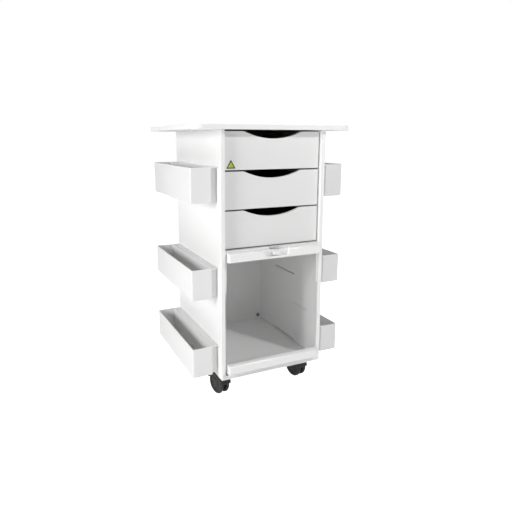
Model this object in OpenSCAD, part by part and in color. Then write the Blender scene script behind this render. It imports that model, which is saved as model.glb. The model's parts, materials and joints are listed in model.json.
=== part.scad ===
// Rolling salon trolley: a flat-panel cabinet with three scoop-front drawers,
// a lower compartment behind a clear drop-front door, six lift-off side bins
// and four twin-wheel swivel casters.
// +Z is up, the front faces -Y, and the origin lies on the floor under the
// centre of the top panel.

/* [Cabinet] */
// Height of the top surface above the floor
total_h = 889; // [880:1:900]
// Width across the side panels
cabinet_w = 366; // [360:2:380]
// Depth of the side panels
cabinet_d = 430; // [425:5:450]
// Thickness of the carcass sheet
panel_t = 13; // [12:0.5:14]
// Height of the underside of the base panel
base_z = 89; // [89:1:90]

/* [Top] */
// Thickness of the top panel
top_t = 14; // [12:1:16]
// How far the top stands past each side panel
top_side_overhang = 90; // [89:1:110]
// How far the top stands past the cabinet front
top_front_overhang = 20; // [20:1:30]
// How far the top stands past the cabinet back
top_back_overhang = 42; // [20:1:60]
// Corner radius of the top panel
top_corner_r = 28; // [10:1:60]

/* [Drawers] */
// Number of drawers
drawer_count = 3; // [3:1:3]
// Height of a drawer front
drawer_front_h = 116; // [112:1:116]
// Gap above and below each drawer front
drawer_gap = 4.5; // [4:0.5:5]
// Gap between a drawer front and the side panels
drawer_side_gap = 3; // [2:0.5:4]
// Setback of the drawer fronts from the cabinet front
drawer_recess = 12; // [4:1:14]
// Width of the scooped finger pull
scoop_w = 202; // [160:2:220]
// Depth of the scooped finger pull
scoop_depth = 22; // [16:1:22]
// Wall thickness of the drawer tub
tub_t = 3; // [2:0.5:4]
// Opening travel of a drawer
drawer_travel = 300; // [250:10:320]

/* [Door] */
// Height of the door's two rails
rail_h = 29; // [26:1:30]
// How far the rails stand proud of the cabinet front
rail_proud = 19.5; // [18:0.5:19.5]
// Radius of the rails' front edges
rail_r = 5; // [3:0.5:6]
// Thickness of the clear door panel
clear_t = 4; // [3:0.5:4]
// Width of the finger notch at its open top
notch_top_w = 96; // [80:2:110]
// Width of the finger notch at its floor
notch_floor_w = 80; // [70:2:80]
// Depth of the finger notch into the rail
notch_depth = 11; // [9:0.5:12]
// Upward travel of the latch slide
latch_travel = 6; // [5:0.5:6]

/* [Side bins] */
// Height of the two top bins
top_bin_h = 106; // [92:1:106]
// Height of the two middle bins
middle_bin_h = 96; // [70:1:96]
// Height of the two bottom bins
bottom_bin_h = 94; // [70:1:94]
// Width of a bin's box
bin_w = 66; // [50:1:66]
// Length of a bin
bin_len = 396; // [360:2:396]
// Wall thickness of a bin
bin_t = 4; // [3:0.5:4]
// Gap between the side panel and a bin's box
bracket_w = 22; // [22:1:23]
// Upward travel that lifts a bin off its bracket
bin_travel = 14; // [13:0.5:16]

/* [Casters] */
// Wheel diameter
wheel_d = 75; // [73:1:75]
// Width of each wheel of a pair
wheel_w = 12; // [11:0.5:13]
// Distance from the swivel axis to the axle
trail = 22; // [20:1:24]
// Rest angle of the casters about their swivel axes
caster_yaw = 12; // [0:1:45]

/* [Hidden] */
$fn = 48;
clear = 0.3;

// Carcass planes
top_w = cabinet_w + 2 * top_side_overhang;
top_d = cabinet_d + top_front_overhang + top_back_overhang;
front_y = top_front_overhang - top_d / 2;
back_y = front_y + cabinet_d;
outer_x = cabinet_w / 2;
inner_x = outer_x - panel_t;
floor_z = base_z + panel_t;
carcass_top = total_h - top_t;
back_inner_y = back_y - panel_t;

// Drawer bay
drawer_pitch = drawer_front_h + drawer_gap;
divider_top = carcass_top - drawer_count * drawer_pitch - drawer_gap;
divider_z = divider_top - panel_t;
divider_setback = 3;
drawer_face_y = front_y + drawer_recess;
drawer_back_y = drawer_face_y + panel_t;
front_half_w = inner_x - drawer_side_gap;
scoop_r = (pow(scoop_w / 2, 2) + pow(scoop_depth, 2)) / (2 * scoop_depth);
function drawer_z(i) = carcass_top - i * drawer_pitch;

// Drawer tub and runners
runner_w = 15;
tub_half_w = inner_x - runner_w;
tub_len = 385;
tub_lift = 8;
tub_h = 92;
tub_front_h = drawer_front_h - scoop_depth - tub_lift - 5;
runner_h = 36;
runner_len = 370;
runner_sheet = 1.5;
runner_lip = 8.5;
runner_lift = 30;
runner_slack = 0.5;
runner_y = drawer_back_y + 3;
runner_head_w = 5.5;
runner_neck_h = 14;

// Door, hinge and latch
door_gap = 4;
door_half_w = inner_x - door_gap;
rail_half_w = door_half_w - 1.5;
rail_back_y = front_y + 0.5;
rail_front_y = front_y - rail_proud;
door_z = floor_z + 8;
door_top = divider_z + 8;
clear_top = door_top - 24;
notch_z = door_top - 21;
notch_back_y = rail_front_y + notch_depth;
hinge_y = front_y - 4;
hinge_z = floor_z + 4.5;
knuckle_r = 3;
pin_r = 1.5;
pin_slack = 0.05;
hinge_len = 36;
hinge_mid_len = 17;
hinge_x = 105;
leaf_t = 1.5;
leaf_len = 14;
latch_w = 12;
latch_tongue_t = 3.7;
latch_thumb_w = 24;
latch_thumb_t = 7;
latch_thumb_h = 12;
latch_z = notch_z + 3;
strike_w = 32;
strike_t = 2;
strike_z = door_top + 2;
stop_w = 6;
stop_h = 124;
stop_d = 23;

// Cable hole in the back panel
grommet_x = inner_x - 14;
grommet_z = floor_z + 12;
grommet_r = 6;

// Sticker on the top drawer
label_w = 31;
label_h = 27;

// Shelf groove inside each side panel
groove_z = 250;
groove_h = 3;
groove_d = 3;
groove_y = 60;
groove_len = 100;

// Side bins
bin_setback = 25;
bin_x = outer_x + bracket_w;
bin_y = front_y + bin_setback;
bin_top_z = 658;
bin_middle_z = 357;
bin_bottom_z = floor_z + 2;
bin_levels = [bin_top_z, bin_middle_z, bin_bottom_z];
bin_heights = [top_bin_h, middle_bin_h, bottom_bin_h];
lip_h = 12;
lip_t = 4;
bracket_recess = 12;
bracket_t = 4;
bracket_drop = bin_t + 0.5;
tongue_len = 140;
tongue_d = panel_t / 3;
tongue_slack = 0.5;

// Casters
wheel_r = wheel_d / 2;
wheel_gap = 0.5;
web_w = 11;
hood_w = web_w + 2 * (wheel_gap + wheel_w) + 2;
hood_r = wheel_r + 4;
pocket_r = wheel_r + 1.8;
axle_r = 4;
hub_t = 3;
boss_r = 13;
boss_top = base_z - 7;
plate_w = 60;
plate_t = 3;
plate_z = base_z - plate_t;
plate_r = 6;
kingpin_r = 4;
kingpin_z = boss_top - 22;
bearing_r = 17;
screw_pitch = 44;
screw_r = 2.5;
screw_head_r = 4.5;
screw_head_h = 2.5;
screw_depth = 10;
caster_x = 150;
caster_inset = 70;
caster_front_y = front_y + caster_inset;
caster_back_y = back_y - caster_inset;
corners = ["front_left", "front_right", "back_left", "back_right"];
function caster_pos(i) = [
    i % 2 == 0 ? -caster_x : caster_x,
    i < 2 ? caster_front_y : caster_back_y,
    0
];

// Colours
sheet_white = [0.94, 0.94, 0.93];
trim_white = [0.97, 0.97, 0.96];
tub_black = [0.06, 0.06, 0.06];
rubber_black = [0.12, 0.12, 0.12];
zinc = [0.72, 0.73, 0.75];
clear_tint = [0.85, 0.92, 0.95, 0.35];
label_green = [0.75, 0.85, 0.15];

sides = ["left", "right"];
levels = ["top", "middle", "bottom"];
DRAWER_NODES = [
    for (i = [1 : drawer_count], part = ["front", "tub", "runners"])
        str("drawer_", i, "_", part)
];
BIN_NODES = [
    for (level = levels, side = sides, part = ["bin", "bracket"])
        str(part, "_", level, "_", side)
];
CASTER_NODES = [
    for (corner = corners, part = ["hood", "wheels", "axle"])
        str("caster_", part, "_", corner)
];

// A box given by its lowest and highest corners
module block(lo, hi) {
    translate(lo) cube(hi - lo);
}

// The children and their mirror image across the centre plane
module both_sides() {
    children();
    mirror([1, 0, 0]) children();
}

module rounded_rect(w, d, r) {
    square([w - 2 * r, d], center = true);
    square([w, d - 2 * r], center = true);
    for (x = [-1, 1], y = [-1, 1])
        translate([x * (w / 2 - r), y * (d / 2 - r)]) circle(r);
}

// ---------------------------------------------------------------- carcass

module top_panel() {
    color(sheet_white)
        translate([0, 0, carcass_top])
            linear_extrude(top_t) rounded_rect(top_w, top_d, top_corner_r);
}

// Right-hand side panel, with a slot for each bin bracket's tongue
module side_panel() {
    tongue_y = bin_y + (bin_len - tongue_len) / 2;
    color(sheet_white) difference() {
        block([inner_x, front_y, floor_z], [outer_x, back_y, carcass_top]);
        for (z = bin_levels)
            block([inner_x - 1, tongue_y - 1, z - tongue_slack],
                  [outer_x + 1, tongue_y + tongue_len + 1,
                   z + bracket_t + tongue_slack]);
        block([inner_x - 1, front_y + groove_y, groove_z],
              [inner_x + groove_d, front_y + groove_y + groove_len,
               groove_z + groove_h]);
    }
}

// Inset back, with a cable hole in its lower right corner
module back_panel() {
    color(sheet_white) difference() {
        block([-inner_x, back_inner_y, floor_z], [inner_x, back_y, carcass_top]);
        translate([grommet_x, back_inner_y - 1, grommet_z])
            rotate([-90, 0, 0]) cylinder(r = grommet_r, h = panel_t + 2);
    }
}

// Flanged plug that closes the cable hole
module cable_grommet() {
    color(rubber_black)
        translate([grommet_x, back_inner_y, grommet_z])
            rotate([-90, 0, 0]) {
                translate([0, 0, -2]) cylinder(r = grommet_r + 2, h = 2);
                cylinder(r = grommet_r - 0.1, h = panel_t);
            }
}

// Base under the side panels, with blind holes for the caster screws
module base_panel() {
    color(sheet_white) difference() {
        block([-outer_x, front_y, base_z], [outer_x, back_y, floor_z]);
        at_caster_screws()
            translate([0, 0, base_z - 1])
                cylinder(r = screw_r, h = screw_depth + 1.5);
    }
}

module divider_panel() {
    color(sheet_white)
        block([-inner_x, front_y + divider_setback, divider_z],
              [inner_x, back_inner_y, divider_top]);
}

// Cleats that hold the top down, one under each long inner edge
module top_cleats() {
    cleat = 12;
    color(sheet_white) both_sides()
        block([inner_x - cleat, front_y + 30, carcass_top - cleat],
              [inner_x, back_inner_y, carcass_top]);
}

// Cabinet halves of the drawer runners: C channels, lips facing inwards
module cabinet_runners() {
    color(zinc) both_sides()
        for (i = [1 : drawer_count])
            translate([0, runner_y, drawer_z(i) + runner_lift])
                runner_channel();
}

module runner_channel() {
    half = runner_h / 2;
    difference() {
        block([inner_x - runner_lip, 0, -half], [inner_x, runner_len, half]);
        block([inner_x - runner_lip - 1, -1, runner_sheet - half],
              [inner_x - runner_sheet, runner_len + 1, half - runner_sheet]);
    }
}

// ---------------------------------------------------------------- drawers

// Drawer front with an arc scooped out of its top edge
module drawer_front(i) {
    top = drawer_z(i) + drawer_front_h;
    color(sheet_white) difference() {
        block([-front_half_w, drawer_face_y, drawer_z(i)],
              [front_half_w, drawer_back_y, top]);
        translate([0, drawer_back_y + 1, top - scoop_depth + scoop_r])
            rotate([90, 0, 0]) cylinder(r = scoop_r, h = panel_t + 2, $fn = 180);
    }
}

// Open-top tub behind the front; its front wall stays below the scoop
module drawer_tub(i) {
    z = drawer_z(i) + tub_lift;
    color(tub_black) difference() {
        block([-tub_half_w, drawer_back_y, z],
              [tub_half_w, drawer_back_y + tub_len, z + tub_h]);
        block([tub_t - tub_half_w, drawer_back_y + tub_t, z + tub_t],
              [tub_half_w - tub_t, drawer_back_y + tub_len - tub_t,
               z + tub_h + 1]);
        block([-tub_half_w - 1, drawer_back_y - 1, z + tub_front_h],
              [tub_half_w + 1, drawer_back_y + tub_t + 1, z + tub_h + 1]);
    }
}

// Drawer halves of the runners: a neck from the tub and a head in the channel
module drawer_runners(i) {
    head_x = inner_x - runner_sheet - 1;
    head_half = runner_h / 2 - runner_sheet - runner_slack;
    color(zinc) both_sides()
        translate([0, runner_y, drawer_z(i) + runner_lift]) {
            block([tub_half_w, 0, -runner_neck_h / 2],
                  [head_x, runner_len, runner_neck_h / 2]);
            block([head_x - runner_head_w, 0, -head_half],
                  [head_x, runner_len, head_half]);
        }
}

// Plain triangular sticker in the lower left corner of the top drawer
module drawer_label() {
    color(label_green)
        translate([-front_half_w + 6, drawer_face_y, drawer_z(1) + 5])
            rotate([90, 0, 0])
                linear_extrude(0.6)
                    polygon([[0, 0], [label_w, 0], [label_w / 2, label_h]]);
}

// ---------------------------------------------------------------- door

module door_panel() {
    color(clear_tint)
        block([-door_half_w, rail_back_y, door_z],
              [door_half_w, rail_back_y + clear_t, clear_top]);
}

// A door rail: round front edges along it and round ends seen from above
module rail(z) {
    depth = rail_back_y - rail_front_y;
    translate([0, rail_back_y, z]) intersection() {
        rotate([90, 0, 90])
            linear_extrude(2 * rail_half_w, center = true)
                half_rounded(depth, rail_h);
        linear_extrude(rail_h)
            translate([rail_half_w, 0])
                rotate(90) half_rounded(depth, 2 * rail_half_w);
    }
}

// Rectangle of depth by h whose two corners at -depth are rounded
module half_rounded(depth, h) {
    translate([-depth + rail_r, 0]) square([depth - rail_r, h]);
    translate([-depth, rail_r]) square([depth, h - 2 * rail_r]);
    for (y = [rail_r, h - rail_r]) translate([-depth + rail_r, y]) circle(rail_r);
}

module door_top_rail() {
    color(trim_white) difference() {
        rail(door_top - rail_h);
        // finger notch, open at the top
        translate([0, notch_back_y, 0])
            rotate([90, 0, 0])
                linear_extrude(notch_depth + 1)
                    polygon([[-notch_floor_w / 2, notch_z],
                             [notch_floor_w / 2, notch_z],
                             [notch_top_w / 2, door_top + 1],
                             [-notch_top_w / 2, door_top + 1]]);
        // guide groove of the latch slide
        block([-latch_w / 2 - clear, notch_back_y - 1, notch_z + 2],
              [latch_w / 2 + clear, notch_back_y + latch_tongue_t + clear,
               door_top + 1]);
    }
}

module door_bottom_rail() {
    color(trim_white) rail(door_z);
}

// Screws that hold the bottom rail to the clear panel, heads at the back
module door_screws() {
    color(zinc)
        for (x = [-140, -60, 60, 140])
            translate([x, rail_back_y + clear_t, door_z + rail_h / 2])
                rotate([-90, 0, 0]) cylinder(r = 3, h = 1.2, $fn = 32);
}

// Hinge leaf on the front edge of the base, with the two outer knuckles
module hinge_leaf_fixed() {
    knuckle_len = (hinge_len - hinge_mid_len) / 2 - clear;
    end_x = hinge_len / 2;
    difference() {
        union() {
            block([-end_x, front_y - leaf_t, base_z + 1],
                  [end_x, front_y, hinge_z - knuckle_r - 0.5]);
            for (x = [-end_x, end_x - knuckle_len])
                translate([x, 0, 0]) {
                    block([0, front_y - leaf_t, base_z + 1],
                          [knuckle_len, front_y, hinge_z]);
                    translate([0, hinge_y, hinge_z])
                        rotate([0, 90, 0]) cylinder(r = knuckle_r, h = knuckle_len);
                }
        }
        hinge_bore();
    }
}

// Hinge leaf under the door's bottom rail, with the middle knuckle
module hinge_leaf_door() {
    mid = hinge_mid_len / 2;
    out_y = hinge_y - leaf_len;
    difference() {
        union() {
            block([-hinge_len / 2, out_y, door_z - leaf_t],
                  [hinge_len / 2, hinge_y - knuckle_r - 0.5, door_z]);
            block([-mid, out_y, door_z - leaf_t], [mid, hinge_y, door_z]);
            translate([-mid, hinge_y, hinge_z])
                rotate([0, 90, 0]) cylinder(r = knuckle_r, h = hinge_mid_len);
        }
        hinge_bore();
    }
}

module hinge_bore() {
    translate([-hinge_len, hinge_y, hinge_z])
        rotate([0, 90, 0])
            cylinder(r = pin_r + pin_slack, h = 2 * hinge_len);
}

module hinge_leaves_fixed() {
    color(trim_white) both_sides()
        translate([hinge_x, 0, 0]) hinge_leaf_fixed();
}

module hinge_leaves_door() {
    color(trim_white) both_sides()
        translate([hinge_x, 0, 0]) hinge_leaf_door();
}

module hinge_pins() {
    color(zinc) both_sides()
        translate([hinge_x - hinge_len / 2, hinge_y, hinge_z])
            rotate([0, 90, 0]) cylinder(r = pin_r, h = hinge_len);
}

// Strips behind the door that it closes against
module door_stops() {
    stop_y = rail_back_y + clear_t + clear;
    color(trim_white) both_sides()
        block([inner_x - stop_w, stop_y, divider_z - stop_h],
              [inner_x, stop_y + stop_d, divider_z]);
}

// Thumb slide in the finger notch; its tongue rises into the strike
module latch_slide() {
    color(trim_white) {
        block([-latch_thumb_w / 2, notch_back_y - clear - latch_thumb_t, latch_z],
              [latch_thumb_w / 2, notch_back_y - clear, latch_z + latch_thumb_h]);
        block([-latch_w / 2, notch_back_y - clear, latch_z],
              [latch_w / 2, notch_back_y + latch_tongue_t, door_top - 0.5]);
    }
}

// Angle plate on the front edge of the divider, slotted for the latch tongue
module latch_strike() {
    edge_y = front_y + divider_setback;
    slot_y = notch_back_y - 0.8;
    color(zinc) difference() {
        union() {
            block([-strike_w / 2, slot_y - 4, strike_z],
                  [strike_w / 2, edge_y, strike_z + strike_t]);
            block([-strike_w / 2, edge_y - leaf_t, divider_z + 1],
                  [strike_w / 2, edge_y, strike_z + strike_t]);
        }
        block([-latch_w / 2 - 0.5, slot_y, strike_z - 1],
              [latch_w / 2 + 0.5, notch_back_y + latch_tongue_t + 0.5,
               strike_z + strike_t + 1]);
    }
}

// ---------------------------------------------------------------- side bins

// Right-hand bin: an open box with a hooked flange along its inner wall
module bin(level) {
    z = bin_levels[level];
    top = z + bin_heights[level];
    y1 = bin_y + bin_len;
    lip_x = bin_x - clear - bracket_t - clear;
    lip_y = bin_y + bracket_recess + bracket_t + 2;
    color(sheet_white) {
        difference() {
            block([bin_x, bin_y, z], [bin_x + bin_w, y1, top]);
            block([bin_x + bin_t, bin_y + bin_t, z + bin_t],
                  [bin_x + bin_w - bin_t, y1 - bin_t, top + 1]);
        }
        block([outer_x + clear, bin_y, top - bin_t], [bin_x, y1, top]);
        block([lip_x - lip_t, lip_y, top - bin_t - lip_h],
              [lip_x, 2 * bin_y + bin_len - lip_y, top - bin_t]);
    }
}

// Right-hand bracket: a folded channel with a tongue through the side panel
module bracket(level) {
    z = bin_levels[level];
    top = z + bin_heights[level] - bracket_drop;
    y0 = bin_y + bracket_recess;
    y1 = bin_y + bin_len - bracket_recess;
    web_x = bin_x - clear - bracket_t;
    tongue_y = bin_y + (bin_len - tongue_len) / 2;
    color(sheet_white) {
        block([web_x, y0, z], [web_x + bracket_t, y1, top]);
        for (y = [y0, y1 - bracket_t])
            block([outer_x, y, z], [web_x + bracket_t, y + bracket_t, top]);
        block([outer_x, y0, z], [web_x + bracket_t, y1, z + bracket_t]);
        block([outer_x - tongue_d, tongue_y, z],
              [outer_x, tongue_y + tongue_len, z + bracket_t]);
    }
}

// ---------------------------------------------------------------- casters

module at_caster(i) {
    translate(caster_pos(i)) rotate(caster_yaw) children();
}

module at_caster_screws() {
    for (i = [0 : 3], x = [-1, 1], y = [-1, 1])
        translate(caster_pos(i) + screw_pitch / 2 * [x, y, 0]) children();
}

// Mounting plates under the base, one at each corner
module caster_plates() {
    color(zinc) difference() {
        for (i = [0 : 3])
            translate(caster_pos(i) + [0, 0, plate_z])
                linear_extrude(plate_t) rounded_rect(plate_w, plate_w, plate_r);
        at_caster_screws()
            translate([0, 0, plate_z - 1])
                cylinder(r = screw_r + 0.2, h = plate_t + 2);
        for (i = [0 : 3])
            translate(caster_pos(i) + [0, 0, plate_z - 1])
                cylinder(r = kingpin_r + pin_slack, h = plate_t + 2);
    }
}

module caster_screws() {
    color(zinc) at_caster_screws() {
        translate([0, 0, plate_z - screw_head_h])
            cylinder(r = screw_head_r, h = screw_head_h, $fn = 24);
        translate([0, 0, plate_z])
            cylinder(r = screw_r - 0.1, h = plate_t + screw_depth, $fn = 24);
    }
}

// Race rings between the plates and the caster hoods
module swivel_bearings() {
    color(zinc)
        for (i = [0 : 3])
            translate(caster_pos(i) + [0, 0, boss_top + clear])
                difference() {
                    cylinder(r = bearing_r, h = plate_z - boss_top - clear);
                    translate([0, 0, -1])
                        cylinder(r = kingpin_r + pin_slack, h = plate_t + 5);
                }
}

module kingpins() {
    color(zinc)
        for (i = [0 : 3])
            translate(caster_pos(i) + [0, 0, kingpin_z])
                cylinder(r = kingpin_r, h = base_z - kingpin_z);
}

// A cylinder along the axle, centred on it
module on_axle(r, len) {
    translate([0, trail, wheel_r])
        rotate([0, 90, 0]) cylinder(r = r, h = len, center = true, $fn = 64);
}

// Hood of one caster: fender over both wheels, a web between them, a top boss
module caster_hood(i) {
    side_w = (hood_w - web_w) / 2 + 1;
    color(rubber_black) at_caster(i) difference() {
        union() {
            intersection() {
                on_axle(hood_r, hood_w);
                block([-hood_w, trail - hood_r, wheel_r + 6],
                      [hood_w, trail + hood_r, 2 * hood_r]);
            }
            on_axle(boss_r, web_w);
            block([-web_w / 2, -boss_r / 2, wheel_r],
                  [web_w / 2, trail + boss_r, wheel_r + 12]);
            translate([0, 0, kingpin_z - 4])
                cylinder(r = boss_r, h = boss_top - kingpin_z + 4);
        }
        for (s = [-1, 1])
            translate([s * (web_w + side_w) / 2, 0, 0]) on_axle(pocket_r, side_w);
        translate([0, 0, kingpin_z - 1])
            cylinder(r = kingpin_r + pin_slack, h = boss_top);
        on_axle(axle_r + pin_slack, 2 * hood_w);
    }
}

// The two wheels of one caster: round-edged tread and a dished, closed outer face
module caster_wheels(i) {
    color(rubber_black) at_caster(i)
        for (s = [-1, 1])
            translate([0, trail, wheel_r])
                rotate([0, s * 90, 0])
                    translate([0, 0, web_w / 2 + wheel_gap])
                        rotate_extrude($fn = 96) wheel_section();
}

// Half section of a wheel: radius across, width upwards
module wheel_section() {
    r = 4;
    dish = 2.5;
    difference() {
        union() {
            translate([0, wheel_w - hub_t]) square([wheel_r - r, hub_t]);
            translate([axle_r, 0]) square([wheel_r - axle_r - r, wheel_w]);
            translate([axle_r, r])
                square([wheel_r - axle_r, wheel_w - 2 * r]);
            for (y = [r, wheel_w - r]) translate([wheel_r - r, y]) circle(r);
        }
        translate([12, wheel_w - dish]) square([16, dish + 1]);
    }
}

module caster_axle(i) {
    color(zinc) at_caster(i)
        on_axle(axle_r, web_w + 2 * (wheel_gap + wheel_w - hub_t));
}

// ---------------------------------------------------------------- nodes

top_panel();
mirror([1, 0, 0]) side_panel();  // side_panel_left
side_panel();  // side_panel_right
back_panel();
base_panel();
divider_panel();
top_cleats();
cabinet_runners();
cable_grommet();
door_stops();
latch_strike();
hinge_leaves_fixed();
hinge_pins();
caster_plates();
caster_screws();
swivel_bearings();
kingpins();
drawer_label();
door_panel();
door_top_rail();
door_bottom_rail();
hinge_leaves_door();
door_screws();
latch_slide();
for (i = [1 : drawer_count]) {
    drawer_front(i);
    drawer_tub(i);
    drawer_runners(i);
}
for (k = [0 : 2]) {
    mirror([1, 0, 0]) bin(k);
    bin(k);
    mirror([1, 0, 0]) bracket(k);
    bracket(k);
}
for (i = [0 : 3]) {
    caster_hood(i);
    caster_wheels(i);
    caster_axle(i);
}
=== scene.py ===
"""Rolling salon trolley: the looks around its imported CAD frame.

White plastic-sheet cabinet with three scoop-front drawers, a clear drop-front
door, six side bins and four twin-wheel casters. Metres, +Z up, front towards -Y.
"""

import json
from math import cos, pi, radians, sin

import bmesh
import bpy
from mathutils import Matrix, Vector


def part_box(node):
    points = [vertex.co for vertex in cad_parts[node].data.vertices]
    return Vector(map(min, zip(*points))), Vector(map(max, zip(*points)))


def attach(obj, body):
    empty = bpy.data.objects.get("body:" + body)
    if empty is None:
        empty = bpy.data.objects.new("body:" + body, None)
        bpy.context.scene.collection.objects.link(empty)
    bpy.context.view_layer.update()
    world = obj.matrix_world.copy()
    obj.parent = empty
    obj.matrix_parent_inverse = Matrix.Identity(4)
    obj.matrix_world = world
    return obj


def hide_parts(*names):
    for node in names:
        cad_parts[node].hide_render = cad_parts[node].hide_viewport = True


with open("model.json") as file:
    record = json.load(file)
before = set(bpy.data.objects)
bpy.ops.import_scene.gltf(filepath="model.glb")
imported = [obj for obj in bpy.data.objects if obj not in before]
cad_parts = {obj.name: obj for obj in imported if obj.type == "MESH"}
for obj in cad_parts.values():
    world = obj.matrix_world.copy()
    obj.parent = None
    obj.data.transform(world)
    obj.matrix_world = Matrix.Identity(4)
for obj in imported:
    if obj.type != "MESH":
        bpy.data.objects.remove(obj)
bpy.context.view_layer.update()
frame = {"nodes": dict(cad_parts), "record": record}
NODES = frame["nodes"]
JOINTS = {joint["name"]: joint for joint in frame["record"]["behaviour"]["joints"]}
MM = 0.001
FACETS_BEND_UNDER = radians(32)
CORNERS_BEND_OVER = radians(40)

SIDES = ("left", "right")
LEVELS = ("top", "middle", "bottom")
CORNERS = ("front_left", "front_right", "back_left", "back_right")


# ------------------------------------------------------------ material graphs

class Graph:
    """A material and its node tree, with short calls for the nodes it needs."""

    def __init__(self, name):
        self.material = bpy.data.materials.new(name)
        self.material.use_nodes = True
        self.tree = self.material.node_tree
        self.shader = self.tree.nodes["Principled BSDF"]
        self.output = self.tree.nodes["Material Output"]
        self.place = self.node("TexCoord").outputs["Object"]

    def node(self, kind, inputs=None, **settings):
        """New node; inputs are values or sockets by name or index."""
        made = self.tree.nodes.new("ShaderNode" + kind)
        for name, value in settings.items():
            setattr(made, name, value)
        for key, value in (inputs or {}).items():
            self.put(made.inputs[key], value)
        return made

    def put(self, socket, value):
        """Links a socket, or sets a plain value."""
        if isinstance(value, bpy.types.NodeSocket):
            self.tree.links.new(value, socket)
        else:
            socket.default_value = value

    def set(self, **values):
        """Sockets of the Principled shader: base_color is Base Color, and so on."""
        for name, value in values.items():
            key = name.replace("_", " ").title().replace("Ior", "IOR")
            self.put(self.shader.inputs[key], value)

    def noise(self, size, detail=2.0, stretch=(1, 1, 1), rough=0.5):
        """Cloudy pattern from 0 to 1 whose features are about size metres across."""
        place = self.place
        if stretch != (1, 1, 1):
            squeeze = [1 / s for s in stretch]
            place = self.node("Mapping", {"Vector": place, "Scale": squeeze}).outputs[0]
        inputs = {"Vector": place, "Scale": 1 / size, "Detail": detail, "Roughness": rough}
        return self.node("TexNoise", inputs).outputs[0]

    def cells(self, size):
        """Voronoi cells about size metres across."""
        return self.node("TexVoronoi", {"Vector": self.place, "Scale": 1 / size})

    def ramp(self, value, lo, hi, to_lo=0.0, to_hi=1.0):
        """value's stretch from lo to hi, spread over to_lo to to_hi and held there."""
        inputs = {"Value": value, "From Min": lo, "From Max": hi,
                  "To Min": to_lo, "To Max": to_hi}
        return self.node("MapRange", inputs).outputs[0]

    def math(self, operation, a, b=0.0):
        return self.node("Math", {0: a, 1: b}, operation=operation).outputs[0]

    def mix(self, share, a, b):
        """Colour a where share is 0 and b where it is 1."""
        made = self.node("Mix", data_type="RGBA")
        for index, value in ((0, share), (6, a), (7, b)):
            self.put(made.inputs[index], value)
        return made.outputs[2]

    def edges(self, radius):
        """1 on edges and corners, 0 on open faces, from how a rounded normal turns."""
        rounded = self.node("Bevel", {"Radius": radius}, samples=4).outputs[0]
        flat = self.node("NewGeometry").outputs["Normal"]
        turn = self.node("VectorMath", {0: rounded, 1: flat}, operation="DOT_PRODUCT")
        return self.ramp(turn.outputs["Value"], 0.995, 0.8)

    def bump(self, height, distance, strength, below=None):
        """Normal bent by a height map, on top of the one below."""
        inputs = {"Height": height, "Distance": distance, "Strength": strength}
        if below is not None:
            inputs["Normal"] = below
        return self.node("Bump", inputs).outputs[0]


def grey(level, warmth=0.0):
    """Grey of one level; warmth takes a little out of green and more out of blue."""
    return (level, level * (1 - 0.3 * warmth), level * (1 - warmth), 1)


def pebbled_sheet(name, dark, light):
    """Satin rigid plastic sheet: fine pebble, faint handling marks, scraped edges."""
    g = Graph(name)
    cloud = g.noise(0.16, 3)
    tone = g.mix(cloud, grey(dark, 0.003), grey(light, 0.006))
    edge = g.math("MULTIPLY", g.edges(1.2 * MM), g.ramp(g.noise(0.012, 4), 0.3, 0.62))
    smudge = g.ramp(g.noise(0.05, 5, rough=0.62), 0.56, 0.72)
    worn = g.mix(g.math("MULTIPLY", edge, 0.45), tone, grey(0.62, 0.03))
    g.set(base_color=worn, specular_ior_level=0.5)
    rough = g.math("ADD", g.ramp(cloud, 0.3, 0.7, 0.30, 0.36), g.math("MULTIPLY", smudge, 0.07))
    scuffs = g.ramp(g.noise(0.004, 3, stretch=(1, 1, 40)), 0.66, 0.7)
    rough = g.math("ADD", rough, g.math("MULTIPLY", scuffs, 0.06))
    g.set(roughness=g.math("ADD", rough, g.math("MULTIPLY", edge, 0.25)))
    pebble = g.noise(1.3 * MM, 2)
    wave = g.noise(0.09, 1)
    g.set(normal=g.bump(pebble, 0.05 * MM, 0.35, below=g.bump(wave, 0.6 * MM, 0.25)))
    return g.material


def sheet_white():
    """Carcass, top and brackets."""
    return pebbled_sheet("sheet_white", 0.87, 0.905)


def shaded_front_white():
    """Drawer fronts: the carcass sheet made a shade greyer, as painted shade on the fronts."""
    return pebbled_sheet("shaded_front_white", 0.77, 0.8)


def shaded_bin_white():
    """Side bins: the carcass sheet made a shade greyer, as painted shade on the bins."""
    return pebbled_sheet("shaded_bin_white", 0.79, 0.82)


def trim_white():
    """Glossy extruded trim with faint lines along its length."""
    g = Graph("trim_white")
    cloud = g.noise(0.08, 3)
    edge = g.math("MULTIPLY", g.edges(1.0 * MM), g.ramp(g.noise(0.008, 4), 0.35, 0.6))
    tone = g.mix(cloud, grey(0.87, 0.004), grey(0.9, 0.01))
    g.set(base_color=g.mix(g.math("MULTIPLY", edge, 0.4), tone, grey(0.68, 0.02)))
    lines = g.noise(0.7 * MM, 2, stretch=(400, 1, 1))
    g.set(roughness=g.ramp(lines, 0.3, 0.7, 0.2, 0.3), specular_ior_level=0.5)
    g.set(normal=g.bump(lines, 0.02 * MM, 0.4))
    return g.material


def tub_black():
    """Moulded black plastic with a matt grain that rubs shiny and grey on edges."""
    g = Graph("tub_black")
    edge = g.math("MULTIPLY", g.edges(1.0 * MM), g.ramp(g.noise(0.01, 4), 0.3, 0.6))
    tone = g.mix(g.noise(0.05, 4), grey(0.1), grey(0.125))
    g.set(base_color=g.mix(g.math("MULTIPLY", edge, 0.5), tone, grey(0.18)))
    grain = g.cells(0.9 * MM).outputs["Distance"]
    g.set(roughness=g.ramp(g.noise(0.03, 3), 0.3, 0.7, 0.42, 0.55))
    g.set(normal=g.bump(grain, 0.06 * MM, 0.5))
    return g.material


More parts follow.
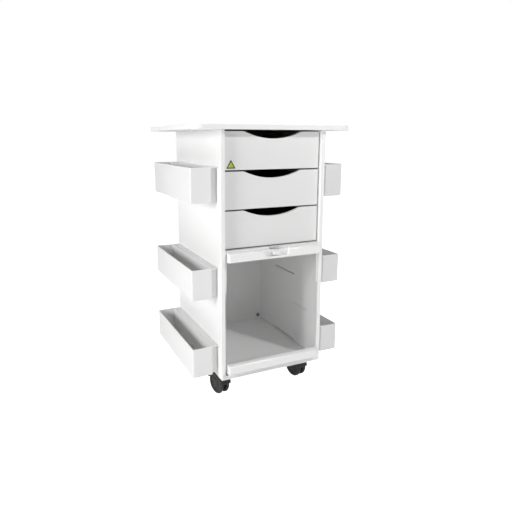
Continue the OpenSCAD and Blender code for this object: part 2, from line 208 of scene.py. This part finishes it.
def clear_sheet():
    """Clear acrylic: mirrors at a slant and on its edges, with hairline scratches."""
    g = Graph("clear_sheet")
    scratches = g.ramp(g.noise(0.5 * MM, 2, stretch=(60, 1, 9)), 0.68, 0.72)
    wear = g.math("MULTIPLY", scratches, g.ramp(g.noise(0.06, 2), 0.45, 0.6))
    clear = g.node("BsdfTransparent", {"Color": (0.983, 0.983, 0.983, 1)}).outputs[0]
    gloss = g.node("BsdfGlossy", {"Color": (1, 1, 1, 1),
                                  "Roughness": g.ramp(wear, 0, 1, 0.04, 0.3)}).outputs[0]
    slant = g.node("LayerWeight", {"Blend": 0.5}).outputs["Facing"]
    mirror = g.ramp(g.math("POWER", slant, 5.0), 0, 1, 0.03, 0.8)
    sawn = g.math("MULTIPLY", g.edges(1.5 * MM), 0.5)
    share = g.math("ADD", g.math("ADD", mirror, sawn), g.math("MULTIPLY", wear, 0.05))
    mixed = g.node("MixShader", {0: share, 1: clear, 2: gloss}).outputs[0]
    g.put(g.output.inputs["Surface"], mixed)
    g.tree.nodes.remove(g.shader)
    return g.material


def zinc_steel():
    """Zinc-plated steel: soft spangle and duller edges."""
    g = Graph("zinc_steel")
    spangle = g.cells(0.006).outputs["Color"]
    tone = g.mix(g.ramp(spangle, 0.2, 0.8), (0.50, 0.51, 0.52, 1), (0.66, 0.67, 0.68, 1))
    g.set(base_color=g.mix(g.ramp(g.noise(0.02, 4), 0.55, 0.7, 0, 0.4), tone, grey(0.35)))
    g.set(metallic=1.0, roughness=g.ramp(g.noise(0.008, 4), 0.3, 0.7, 0.26, 0.42))
    g.set(normal=g.bump(g.noise(0.4 * MM, 2, stretch=(1, 30, 1)), 0.02 * MM, 0.4))
    return g.material


def caster_black():
    """Glass-filled nylon of the hoods, with a fine mould texture."""
    g = Graph("caster_black")
    edge = g.math("MULTIPLY", g.edges(0.9 * MM), g.ramp(g.noise(0.006, 4), 0.3, 0.6))
    tone = g.mix(g.noise(0.02, 4), grey(0.018, 0.06), grey(0.03, 0.08))
    g.set(base_color=g.mix(g.math("MULTIPLY", edge, 0.6), tone, grey(0.09, 0.05)))
    g.set(roughness=g.ramp(g.noise(0.015, 3), 0.3, 0.7, 0.34, 0.5))
    g.set(normal=g.bump(g.noise(0.6 * MM, 2), 0.05 * MM, 0.5))
    return g.material


def wheel_black():
    """Dark rolling rubber: dusty and dull on the tread, cleaner on the hub."""
    g = Graph("wheel_black")
    dust = g.ramp(g.noise(0.009, 5, rough=0.65), 0.42, 0.75, 0.0, 0.5)
    tone = g.mix(g.noise(0.03, 3), grey(0.014, 0.05), grey(0.024, 0.1))
    g.set(base_color=g.mix(dust, tone, grey(0.075, 0.14)))
    g.set(roughness=g.ramp(dust, 0.0, 0.5, 0.42, 0.72))
    g.set(normal=g.bump(g.noise(0.8 * MM, 3), 0.08 * MM, 0.5))
    return g.material


def grommet_black():
    """Soft matt rubber with a little bloom."""
    g = Graph("grommet_black")
    bloom = g.ramp(g.noise(0.003, 4), 0.45, 0.7)
    g.set(base_color=g.mix(bloom, grey(0.02), grey(0.045)), roughness=0.7)
    g.set(normal=g.bump(g.noise(0.5 * MM, 2), 0.04 * MM, 0.4))
    return g.material


def label_film():
    """Printed film, slightly faded in patches."""
    g = Graph("label_film")
    fade = g.ramp(g.noise(0.006, 4), 0.4, 0.7)
    g.set(base_color=g.mix(fade, (0.42, 0.50, 0.05, 1), (0.52, 0.6, 0.1, 1)))
    g.set(roughness=g.ramp(g.noise(0.002, 2), 0.3, 0.7, 0.3, 0.4))
    g.set(normal=g.bump(g.noise(1.5 * MM, 2), 0.02 * MM, 0.4))
    return g.material


def label_border():
    """Dark printed border of the film, worn grey in specks."""
    g = Graph("label_border")
    specks = g.ramp(g.noise(0.9 * MM, 3), 0.62, 0.7)
    tone = g.mix(g.noise(0.004, 3), (0.05, 0.07, 0.02, 1), (0.08, 0.1, 0.03, 1))
    g.set(base_color=g.mix(specks, tone, (0.2, 0.22, 0.12, 1)))
    g.set(roughness=g.ramp(g.noise(0.002, 2), 0.3, 0.7, 0.35, 0.5))
    g.set(normal=g.bump(g.noise(1.5 * MM, 2), 0.02 * MM, 0.4))
    return g.material


FINISHES = {make.__name__: make() for make in (
    sheet_white, shaded_front_white, shaded_bin_white, trim_white, tub_black, clear_sheet, zinc_steel,
    caster_black, wheel_black, grommet_black, label_film, label_border)}


# ------------------------------------------------------ CAD nodes that stay

def round_edges(obj, edge, segments):
    """Bevels the sharp edges of a piece and leaves its curves alone."""
    bevel = obj.modifiers.new("bevel", "BEVEL")
    bevel.width = edge
    bevel.segments = segments
    bevel.limit_method = "ANGLE"
    bevel.angle_limit = CORNERS_BEND_OVER
    bevel.harden_normals = True
    bevel.miter_outer = "MITER_ARC"


def finish_node(node, slot, edge=0.0, segments=3, shade=None):
    """Gives a CAD node its finish and, where edge is set, rounds its sharp edges."""
    obj = NODES[node]
    obj.data.materials.clear()
    obj.data.materials.append(FINISHES[shade or slot])
    if edge:
        weld = obj.modifiers.new("weld", "WELD")
        weld.merge_threshold = 0.005 * MM
        flat = obj.modifiers.new("flat", "DECIMATE")
        flat.decimate_type = "DISSOLVE"
        flat.angle_limit = radians(0.5)
        round_edges(obj, edge, segments)


SHEET_NODES = ["top_panel", "side_panel_left", "side_panel_right", "back_panel",
               "base_panel", "divider_panel", "top_cleats"]
SHEET_NODES += [f"bracket_{level}_{side}" for level in LEVELS for side in SIDES]
TRIM_NODES = ["door_stops", "door_top_rail", "door_bottom_rail",
              "hinge_leaves_fixed", "hinge_leaves_door"]
STEEL_NODES = ["cabinet_runners", "latch_strike", "hinge_pins", "caster_plates",
               "swivel_bearings", "kingpins"]
STEEL_NODES += [f"drawer_{i}_runners" for i in (1, 2, 3)]
STEEL_NODES += [f"caster_axle_{corner}" for corner in CORNERS]

for name in SHEET_NODES:
    finish_node(name, "sheet_white", 1.0 * MM)
for name in TRIM_NODES:
    finish_node(name, "trim_white", 0.5 * MM)
for name in STEEL_NODES:
    finish_node(name, "zinc_steel", 0.3 * MM, 2)
for i in (1, 2, 3):
    # The fronts take the greyer copy of the carcass sheet: painted shade.
    finish_node(f"drawer_{i}_front", "sheet_white", 1.0 * MM, shade="shaded_front_white")
    finish_node(f"drawer_{i}_tub", "tub_black", 0.8 * MM)
for corner in CORNERS:
    finish_node(f"caster_hood_{corner}", "caster_black", 1.2 * MM)
finish_node("door_panel", "clear_sheet", 0.3 * MM, 2)
finish_node("cable_grommet", "grommet_black", 0.4 * MM)


# ------------------------------------------------------------- mesh building

def box_verts(bm, lo, hi):
    """Closed box between two corners."""
    xs, ys, zs = zip(lo, hi)
    grid = [[[bm.verts.new((x, y, z)) for z in zs] for y in ys] for x in xs]
    for k in (0, 1):
        bm.faces.new((grid[k][0][0], grid[k][1][0], grid[k][1][1], grid[k][0][1]))
        bm.faces.new((grid[0][k][0], grid[1][k][0], grid[1][k][1], grid[0][k][1]))
        bm.faces.new((grid[0][0][k], grid[1][0][k], grid[1][1][k], grid[0][1][k]))


def bridge(bm, low, high, material=0):
    """Quads between two closed loops, or triangles where one is a single point."""
    count = max(len(low), len(high))
    for k in range(count):
        n = (k + 1) % count
        if len(low) == 1:
            corners = (low[0], high[n], high[k])
        elif len(high) == 1:
            corners = (low[k], low[n], high[0])
        else:
            corners = (low[k], low[n], high[n], high[k])
        bm.faces.new(corners).material_index = material


def lathe(bm, origin, axis, profile, columns, relief=None, material=None):
    """Turns (radius, along) pairs about an axis; relief moves points along it."""
    side = axis.orthogonal().normalized()
    up = axis.cross(side)
    rings = []
    for ring, (radius, along) in enumerate(profile):
        verts = []
        for k in range(columns if radius else 1):
            turn = 2 * pi * k / columns
            lift = relief(ring, k) if relief else 0.0
            out = (side * cos(turn) + up * sin(turn)) * radius
            verts.append(bm.verts.new(origin + out + axis * (along + lift)))
        rings.append(verts)
    for ring, (low, high) in enumerate(zip(rings, rings[1:])):
        bridge(bm, low, high, material(ring) if material else 0)


def piece(name, bm, body, finishes, stands_for=(), edge=0.0, segments=3):
    """Makes the mesh a piece that rides on a body, smooth but for its sharp edges."""
    bmesh.ops.recalc_face_normals(bm, faces=bm.faces)
    for face in bm.faces:
        face.smooth = True
    for rim in bm.edges:
        if len(rim.link_faces) == 2 and rim.calc_face_angle() > FACETS_BEND_UNDER:
            rim.smooth = False
    mesh = bpy.data.meshes.new(name)
    bm.to_mesh(mesh)
    bm.free()
    obj = bpy.data.objects.new(name, mesh)
    bpy.context.scene.collection.objects.link(obj)
    for finish in finishes:
        mesh.materials.append(FINISHES[finish])
    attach(obj, body)
    if stands_for:
        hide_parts(*stands_for)
    if edge:
        round_edges(obj, edge, segments)


# ---------------------------------------------------------------- side bins

BIN_BOX_W = 66 * MM
BIN_WALL = 4 * MM
BIN_CORNER = 5 * MM
BIN_CORNER_INSIDE = 2.5 * MM
BIN_BACK_CORNER = 1.5 * MM
HOOK_H = 12 * MM
HOOK_T = 4 * MM
HOOK_INSET = 4.6 * MM
HOOK_END = 18 * MM


def rounded_loop(bm, xs, ys, radii, z, steps=6):
    """Rectangle of points at height z; radii are those of its low and high x corners."""
    verts = []
    corners = ((1, 0, -90), (1, 1, 0), (0, 1, 90), (0, 0, 180))
    for x_end, y_end, start in corners:
        r = radii[x_end]
        centre_x = xs[x_end] + (r if x_end == 0 else -r)
        centre_y = ys[y_end] + (r if y_end == 0 else -r)
        for k in range(steps + 1):
            turn = radians(start + 90 * k / steps)
            verts.append(bm.verts.new((centre_x + r * cos(turn), centre_y + r * sin(turn), z)))
    return verts


def side_bin(level, side):
    """Open box with bent outer corners, and the hooked flange on its inner wall."""
    lo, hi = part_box(f"bin_{level}_{side}")
    near, far = sorted((abs(lo[0]), abs(hi[0])))
    box_x = far - BIN_BOX_W
    y0, y1, z0, z1 = lo[1], hi[1], lo[2], hi[2]
    bm = bmesh.new()
    outer = (BIN_BACK_CORNER, BIN_CORNER)
    inner = (BIN_BACK_CORNER, BIN_CORNER_INSIDE)
    ys_in = (y0 + BIN_WALL, y1 - BIN_WALL)
    xs_in = (box_x + BIN_WALL, far - BIN_WALL)
    loops = [rounded_loop(bm, (box_x, far), (y0, y1), outer, z) for z in (z0, z1)]
    loops += [rounded_loop(bm, xs_in, ys_in, inner, z) for z in (z1, z0 + BIN_WALL)]
    for low, high in zip(loops, loops[1:]):
        bridge(bm, low, high)
    bm.faces.new(loops[0])
    bm.faces.new(loops[-1])
    box_verts(bm, (near, y0, z1 - BIN_WALL), (box_x, y1, z1))
    hook_x = box_x - HOOK_INSET
    box_verts(bm, (hook_x - HOOK_T, y0 + HOOK_END, z1 - BIN_WALL - HOOK_H),
              (hook_x, y1 - HOOK_END, z1 - BIN_WALL))
    if side == "left":
        for vert in bm.verts:
            vert.co.x = -vert.co.x
    # The bins take the greyer copy of the carcass sheet: painted shade.
    piece(f"bin_shell_{level}_{side}", bm, f"bin_{level}_{side}", ["shaded_bin_white"],
          stands_for=[f"bin_{level}_{side}"], edge=0.8 * MM)


# ------------------------------------------------------------------- casters

WEB_HALF = 5.5 * MM
WHEEL_GAP = 0.5 * MM
WHEEL_W = 12 * MM
WHEEL_COLUMNS = 96
RIB_PERIOD = 16
RIB_COLUMNS = 3
RIB_RISE = 1.7 * MM
# Radius and depth in mm, from the bore across the inner face, round the tread and in over the hub
WHEEL_PROFILE = (
    (4.0, 0.0), (28.0, 0.0), (31.5, 0.2), (33.8, 0.9), (35.8, 2.3), (37.0, 4.0),
    (37.5, 6.0), (37.0, 8.0), (35.8, 9.7), (33.8, 11.1), (32.0, 11.8), (31.2, 11.9),
    (30.7, 11.1), (30.2, 11.9), (27.8, 12.0), (27.0, 11.6), (26.2, 9.6), (15.0, 9.2),
    (13.6, 11.4), (12.8, 11.9), (9.4, 11.9), (8.9, 11.2), (8.3, 11.2), (7.8, 11.7),
    (6.0, 11.9), (3.0, 12.0), (0.0, 12.0))
TREAD_RINGS = range(2, 12)
DISH_RINGS = (16, 17)


def wheel_relief(ring, column):
    """Raises the ribs between hub and rim out of the dish."""
    on_rib = column % RIB_PERIOD < RIB_COLUMNS
    return RIB_RISE if ring in DISH_RINGS and on_rib else 0.0


def wheel_pair(corner):
    """Two moulded wheels: crowned tread, groove, ribbed dish and closed hub cap."""
    joint = JOINTS[f"roll_{corner}"]
    centre = Vector(joint["pos_m"])
    axle = Vector(joint["axis"]).normalized()
    profile = [(radius * MM, along * MM) for radius, along in WHEEL_PROFILE]
    bm = bmesh.new()
    for outward in (axle, -axle):
        start = centre + outward * (WEB_HALF + WHEEL_GAP)
        lathe(bm, start, outward, profile, WHEEL_COLUMNS, wheel_relief,
              lambda ring: 0 if ring in TREAD_RINGS else 1)
    piece(f"wheel_pair_{corner}", bm, f"wheels_{corner}", ["wheel_black", "caster_black"],
          stands_for=[f"caster_wheels_{corner}"])


# -------------------------------------------------------------- small fittings

# Radius and height in mm, from the tip of the shank down to the middle of the head
SCREW_PROFILE = ((2.4, 15.5), (2.4, 2.5), (4.5, 2.5), (4.5, 1.7), (4.2, 0.9), (3.5, 0.35),
                 (2.6, 0.1), (2.5, 0.1), (1.3, 0.0), (1.2, 0.0), (0.0, 0.0))
ARM_SINK = {7: 0.9 * MM, 8: 1.3 * MM}
CENTRE_SINK = {9: 1.3 * MM, 10: 1.3 * MM}
SCREW_COLUMNS = 32
SCREW_INSET = 8 * MM
SCREW_PITCH = 44 * MM
DOOR_SCREW_X = 60 * MM


def cross_relief(ring, column):
    """Sinks a cross into a screw head: deep centre, and arms at every quarter turn."""
    on_arm = (column + 1) % (SCREW_COLUMNS // 4) < 3
    if on_arm and ring in ARM_SINK:
        return ARM_SINK[ring]
    return CENTRE_SINK.get(ring, 0.0)


def caster_screws():
    """Sixteen pan-head screws, turned up into the base through the caster plates."""
    lo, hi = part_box("caster_plates")
    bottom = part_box("caster_screws")[0][2]
    steps = (SCREW_INSET, SCREW_INSET + SCREW_PITCH)
    xs = [lo[0] + step for step in steps] + [hi[0] - step for step in reversed(steps)]
    ys = [lo[1] + step for step in steps] + [hi[1] - step for step in reversed(steps)]
    profile = [(radius * MM, along * MM) for radius, along in SCREW_PROFILE]
    bm = bmesh.new()
    for x in xs:
        for y in ys:
            lathe(bm, Vector((x, y, bottom)), Vector((0, 0, 1)), profile, SCREW_COLUMNS,
                  cross_relief)
    piece("caster_screw_heads", bm, "root", ["zinc_steel"], stands_for=["caster_screws"])


def door_screws():
    """Flat heads behind the clear panel, each with a slot."""
    lo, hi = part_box("door_screws")
    middle_z = (lo[2] + hi[2]) / 2
    radius = (hi[2] - lo[2]) / 2
    height = hi[1] - lo[1]
    profile = ((radius, 0.0), (radius, 0.5 * height), (0.88 * radius, 0.9 * height),
               (0.84 * radius, height), (0.5 * radius, height), (0.0, height))
    bm = bmesh.new()
    for x in (lo[0] + radius, -DOOR_SCREW_X, DOOR_SCREW_X, hi[0] - radius):
        lathe(bm, Vector((x, lo[1], middle_z)), Vector((0, 1, 0)), profile, SCREW_COLUMNS,
              lambda ring, k: -0.6 * height if ring >= 4 or (ring == 3 and k % 16 < 2) else 0.0)
    piece("door_screw_heads", bm, "door", ["zinc_steel"], stands_for=["door_screws"])


def latch_slide():
    """Thumb slide with four grip ridges, and the tongue that enters the strike."""
    lo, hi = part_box("latch_slide")
    thumb_h = 12 * MM
    tongue_half = 6 * MM
    tongue_front = lo[1] + 7 * MM
    ridge = 0.8 * MM
    points = [(tongue_front, lo[2]), (tongue_front, lo[2] + thumb_h)]
    count = 4
    step = thumb_h / count
    for k in range(count, 0, -1):
        top = lo[2] + k * step
        points += [(lo[1] + ridge, top), (lo[1], top - 0.25 * step), (lo[1], top - 0.6 * step),
                   (lo[1] + ridge, top - 0.85 * step)]
    points.append((lo[1] + ridge, lo[2]))
    bm = bmesh.new()
    ends = [[bm.verts.new((x, y, z)) for y, z in points] for x in (lo[0], hi[0])]
    bridge(bm, *ends)
    bm.faces.new(ends[0])
    bm.faces.new(ends[1])
    box_verts(bm, (-tongue_half, tongue_front, lo[2]), (tongue_half, hi[1], hi[2]))
    piece("latch_thumb_slide", bm, "latch", ["trim_white"], stands_for=["latch_slide"],
          edge=0.25 * MM, segments=2)


def triangle_plate(bm, lo, hi, inset, corner, near, far):
    """Upright triangle with round corners, from y = near back to y = far."""
    half = (hi[0] - lo[0]) / 2
    height = hi[2] - lo[2]
    slant = (half ** 2 + height ** 2) ** 0.5
    in_r = half * height / (half + slant)
    centre_x = (lo[0] + hi[0]) / 2
    keep = 1 - (inset + corner) / in_r
    tips = ((hi[0], lo[2]), (centre_x, hi[2]), (lo[0], lo[2]))
    middle_z = lo[2] + in_r
    loops = []
    for y in (near, far):
        verts = []
        for k, (x, z) in enumerate(tips):
            x = centre_x + (x - centre_x) * keep
            z = middle_z + (z - middle_z) * keep
            for step in range(7):
                turn = radians((-90, 30, 150)[k] + 120 * step / 6)
                verts.append(bm.verts.new((x + corner * cos(turn), y, z + corner * sin(turn))))
        loops.append(verts)
    bridge(bm, *loops)
    bm.faces.new(loops[0])
    bm.faces.new(loops[1])


LABEL_FIELD_T = 0.35 * MM
LABEL_BORDER_W = 3.4 * MM
LABEL_CORNER = 1.2 * MM
LABEL_FIELD_CORNER = 0.8 * MM


def drawer_label():
    """Plain triangular sticker: dark border with a yellow-green field on it."""
    lo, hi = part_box("drawer_label")
    border_front = hi[1] - LABEL_FIELD_T
    bm = bmesh.new()
    triangle_plate(bm, lo, hi, 0.0, LABEL_CORNER, border_front, hi[1])
    piece("label_border", bm, "drawer_1", ["label_border"], ["drawer_label"],
          0.08 * MM, 2)
    bm = bmesh.new()
    triangle_plate(bm, lo, hi, LABEL_BORDER_W, LABEL_FIELD_CORNER, lo[1], border_front)
    piece("label_field", bm, "drawer_1", ["label_film"], edge=0.06 * MM, segments=2)


for level in LEVELS:
    for side in SIDES:
        side_bin(level, side)
for corner in CORNERS:
    wheel_pair(corner)
caster_screws()
door_screws()
latch_slide()
drawer_label()


# ------------------------------------------------------- floor, light, camera

FLOOR_SIZE = 24
FLOOR_GLOW = 0.1


def make_floor():
    """Pale floor that glows like the sweep of a white studio."""
    bpy.ops.mesh.primitive_plane_add(size=FLOOR_SIZE)
    floor = bpy.context.object
    floor.name = "floor"
    g = Graph("floor")
    g.set(base_color=g.mix(g.noise(0.6, 2), grey(0.88), grey(0.92)), roughness=0.6)
    seen = g.node("LightPath").outputs["Is Camera Ray"]
    g.set(emission_color=(1, 1, 1, 1))
    g.set(emission_strength=g.ramp(seen, 0, 1, FLOOR_GLOW, 1.0))
    floor.data.materials.append(g.material)


def area_light(name, place, aim, size, watts):
    """Rectangular lamp at a place, turned to face a point."""
    data = bpy.data.lights.new(name, "AREA")
    data.shape = "RECTANGLE"
    data.size, data.size_y = size
    data.energy = watts
    lamp = bpy.data.objects.new(name, data)
    bpy.context.scene.collection.objects.link(lamp)
    lamp.location = place
    lamp.rotation_euler = (Vector(aim) - Vector(place)).to_track_quat("-Z", "Y").to_euler()


def make_world(seen, lit):
    """White backdrop for the camera and a softer one as light."""
    world = bpy.data.worlds.new("studio")
    bpy.context.scene.world = world
    world.use_nodes = True
    nodes, links = world.node_tree.nodes, world.node_tree.links
    backdrop = nodes["Background"]
    backdrop.inputs["Color"].default_value = (1, 1, 1, 1)
    backdrop.inputs["Strength"].default_value = seen
    fill = nodes.new("ShaderNodeBackground")
    fill.inputs["Color"].default_value = (1, 1, 1, 1)
    fill.inputs["Strength"].default_value = lit
    rays = nodes.new("ShaderNodeLightPath")
    mix = nodes.new("ShaderNodeMixShader")
    links.new(rays.outputs["Is Camera Ray"], mix.inputs[0])
    links.new(fill.outputs[0], mix.inputs[1])
    links.new(backdrop.outputs[0], mix.inputs[2])
    links.new(mix.outputs[0], nodes["World Output"].inputs["Surface"])


def make_camera(place, yaw, pitch, lens, shift):
    """Camera turned yaw degrees to the right of +Y and pitch degrees down."""
    data = bpy.data.cameras.new("camera")
    data.lens = lens
    data.sensor_width = 36
    data.shift_x, data.shift_y = shift
    camera = bpy.data.objects.new("camera", data)
    bpy.context.scene.collection.objects.link(camera)
    camera.location = place
    camera.rotation_euler = (radians(90 - pitch), 0, radians(-yaw))
    bpy.context.scene.camera = camera


make_floor()
make_world(seen=1.0, lit=0.22)
area_light("key_left", (-2.6, -0.75, 1.1), (0, 0, 0.5), (0.5, 1.0), 48)
area_light("front_right", (1.15, -2.0, 2.1), (0, -0.2, 0.4), (0.25, 0.25), 28)
area_light("near_right", (0.95, -1.35, 0.8), (0, -0.2, 0.5), (0.5, 0.5), 1)
area_light("camera_fill", (-0.6, -3.0, 1.5), (0, 0, 0.5), (1.2, 1.2), 1.5)
area_light("overhead", (0, 0.4, 3.2), (0, 0, 0.9), (1.5, 1.5), 15)
area_light("right_back", (2.4, 1.0, 1.3), (0, 0, 0.5), (1.0, 1.0), 13)
make_camera((-0.7267, -1.5330, 0.8459), yaw=24.53, pitch=9.78, lens=33.67,
            shift=(0.0368, -0.0665))
bpy.context.scene.view_settings.view_transform = "Standard"
